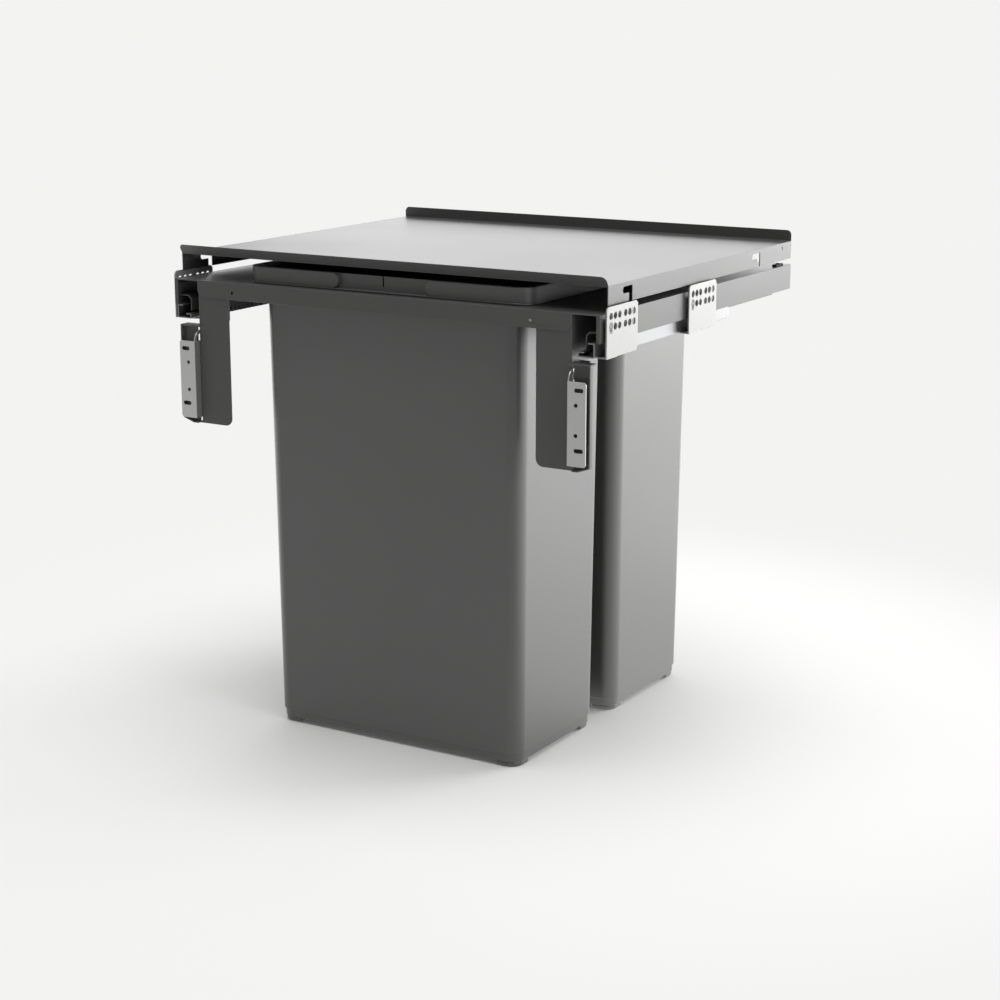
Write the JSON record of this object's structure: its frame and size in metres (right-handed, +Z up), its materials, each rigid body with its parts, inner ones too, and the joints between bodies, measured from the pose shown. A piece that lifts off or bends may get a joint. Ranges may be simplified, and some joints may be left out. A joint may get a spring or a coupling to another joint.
{
  "type": "pull-out waste bin unit",
  "caption": "Pull-out bin frame for a kitchen cabinet: sheet-metal tray on telescopic runners, bins with rim rings, a lid that stays in the cabinet and door brackets.",
  "frame": {"origin": "middle of the unit on the plane of the bins' feet", "axes": "+Z up, -Y towards the cabinet door, the way the frame pulls out, +X to the right seen from the door"},
  "size_m": [0.568, 0.496, 0.566],
  "materials": {
    "charcoal_coat": "fine-textured satin charcoal powder coat",
    "lid_coat": "fine-textured satin charcoal powder coat",
    "bracket_coat": "pale zinc with a satin white passivation",
    "rail_zinc": "bright zinc-plated rolled steel",
    "cam_zinc": "zinc-plated die casting",
    "rivet_steel": "zinc-plated steel",
    "door_steel": "satin nickel-plated steel",
    "screw_black": "blackened steel",
    "ball_steel": "polished bearing steel",
    "bin_plastic": "fine-grained charcoal polypropylene",
    "ring_plastic": "fine-grained charcoal polypropylene",
    "strip_plastic": "black nylon",
    "cage_plastic": "black acetal",
    "buffer_rubber": "black rubber"
  },
  "bodies": {
    "root": {"bracket_left_front": "bracket_coat", "bracket_left_rear": "bracket_coat", "bracket_right_front": "bracket_coat", "bracket_right_rear": "bracket_coat", "cam_screws": "cam_zinc", "fixed_rail_left": "rail_zinc", "fixed_rail_right": "rail_zinc", "rail_rivets": "rivet_steel", "ribbed_strip_left": "strip_plastic", "ribbed_strip_right": "strip_plastic"},
    "frame": {"frame_tray": "charcoal_coat", "top_buffers": "buffer_rubber", "drawer_rail_left": "charcoal_coat", "drawer_rail_right": "charcoal_coat", "door_bracket_left": "charcoal_coat", "door_bracket_right": "charcoal_coat", "pivot_rivets": "rivet_steel", "tilt_screws": "screw_black"},
    "middle_left": {"middle_rail_left": "rail_zinc"},
    "middle_right": {"middle_rail_right": "rail_zinc"},
    "lower_race_left": {"lower_cage_left": "cage_plastic", "lower_balls_left": "ball_steel"},
    "lower_race_right": {"lower_cage_right": "cage_plastic", "lower_balls_right": "ball_steel"},
    "upper_race_left": {"upper_cage_left": "cage_plastic", "upper_balls_left": "ball_steel"},
    "upper_race_right": {"upper_cage_right": "cage_plastic", "upper_balls_right": "ball_steel"},
    "door_left": {"door_plate_left": "door_steel"},
    "door_right": {"door_plate_right": "door_steel"},
    "front_bin": {"bin_front": "bin_plastic", "rim_ring_front": "ring_plastic"},
    "rear_bin": {"bin_rear": "bin_plastic", "rim_ring_rear": "ring_plastic"},
    "lid": {"lid": "lid_coat"}
  },
  "joints": [
    {"name": "frame_slide", "type": "slide", "parent": "root", "child": "frame", "axis": [0, -1, 0], "range_m": [0, 0.45]},
    {"name": "middle_left_slide", "type": "slide", "parent": "root", "child": "middle_left", "axis": [0, -1, 0], "range_m": [0, 0.225]},
    {"name": "lower_race_left_slide", "type": "slide", "parent": "root", "child": "lower_race_left", "axis": [0, -1, 0], "range_m": [0, 0.1125]},
    {"name": "upper_race_left_slide", "type": "slide", "parent": "root", "child": "upper_race_left", "axis": [0, -1, 0], "range_m": [0, 0.3375]},
    {"name": "door_tilt_left", "type": "hinge", "parent": "frame", "child": "door_left", "pos_m": [-0.2466, -0.2327, 0.372], "axis": [1, 0, 0], "range_deg": [-1.5, 1.5]},
    {"name": "middle_right_slide", "type": "slide", "parent": "root", "child": "middle_right", "axis": [0, -1, 0], "range_m": [0, 0.225]},
    {"name": "lower_race_right_slide", "type": "slide", "parent": "root", "child": "lower_race_right", "axis": [0, -1, 0], "range_m": [0, 0.1125]},
    {"name": "upper_race_right_slide", "type": "slide", "parent": "root", "child": "upper_race_right", "axis": [0, -1, 0], "range_m": [0, 0.3375]},
    {"name": "door_tilt_right", "type": "hinge", "parent": "frame", "child": "door_right", "pos_m": [0.2466, -0.2327, 0.372], "axis": [1, 0, 0], "range_deg": [-1.5, 1.5]},
    {"name": "front_bin_lift", "type": "slide", "parent": "frame", "child": "front_bin", "axis": [0, 0, 1], "range_m": [0, 0.006]},
    {"name": "rear_bin_lift", "type": "slide", "parent": "frame", "child": "rear_bin", "axis": [0, 0, 1], "range_m": [0, 0.006]},
    {"name": "lid_unhook", "type": "slide", "parent": "root", "child": "lid", "axis": [0, -1, 0], "range_m": [0, 0.014]}
  ],
  "couplings": [
    {"joint": "middle_left_slide", "follows": "frame_slide", "ratio": 0.5},
    {"joint": "lower_race_left_slide", "follows": "frame_slide", "ratio": 0.25},
    {"joint": "upper_race_left_slide", "follows": "frame_slide", "ratio": 0.75},
    {"joint": "middle_right_slide", "follows": "frame_slide", "ratio": 0.5},
    {"joint": "lower_race_right_slide", "follows": "frame_slide", "ratio": 0.25},
    {"joint": "upper_race_right_slide", "follows": "frame_slide", "ratio": 0.75}
  ]
}
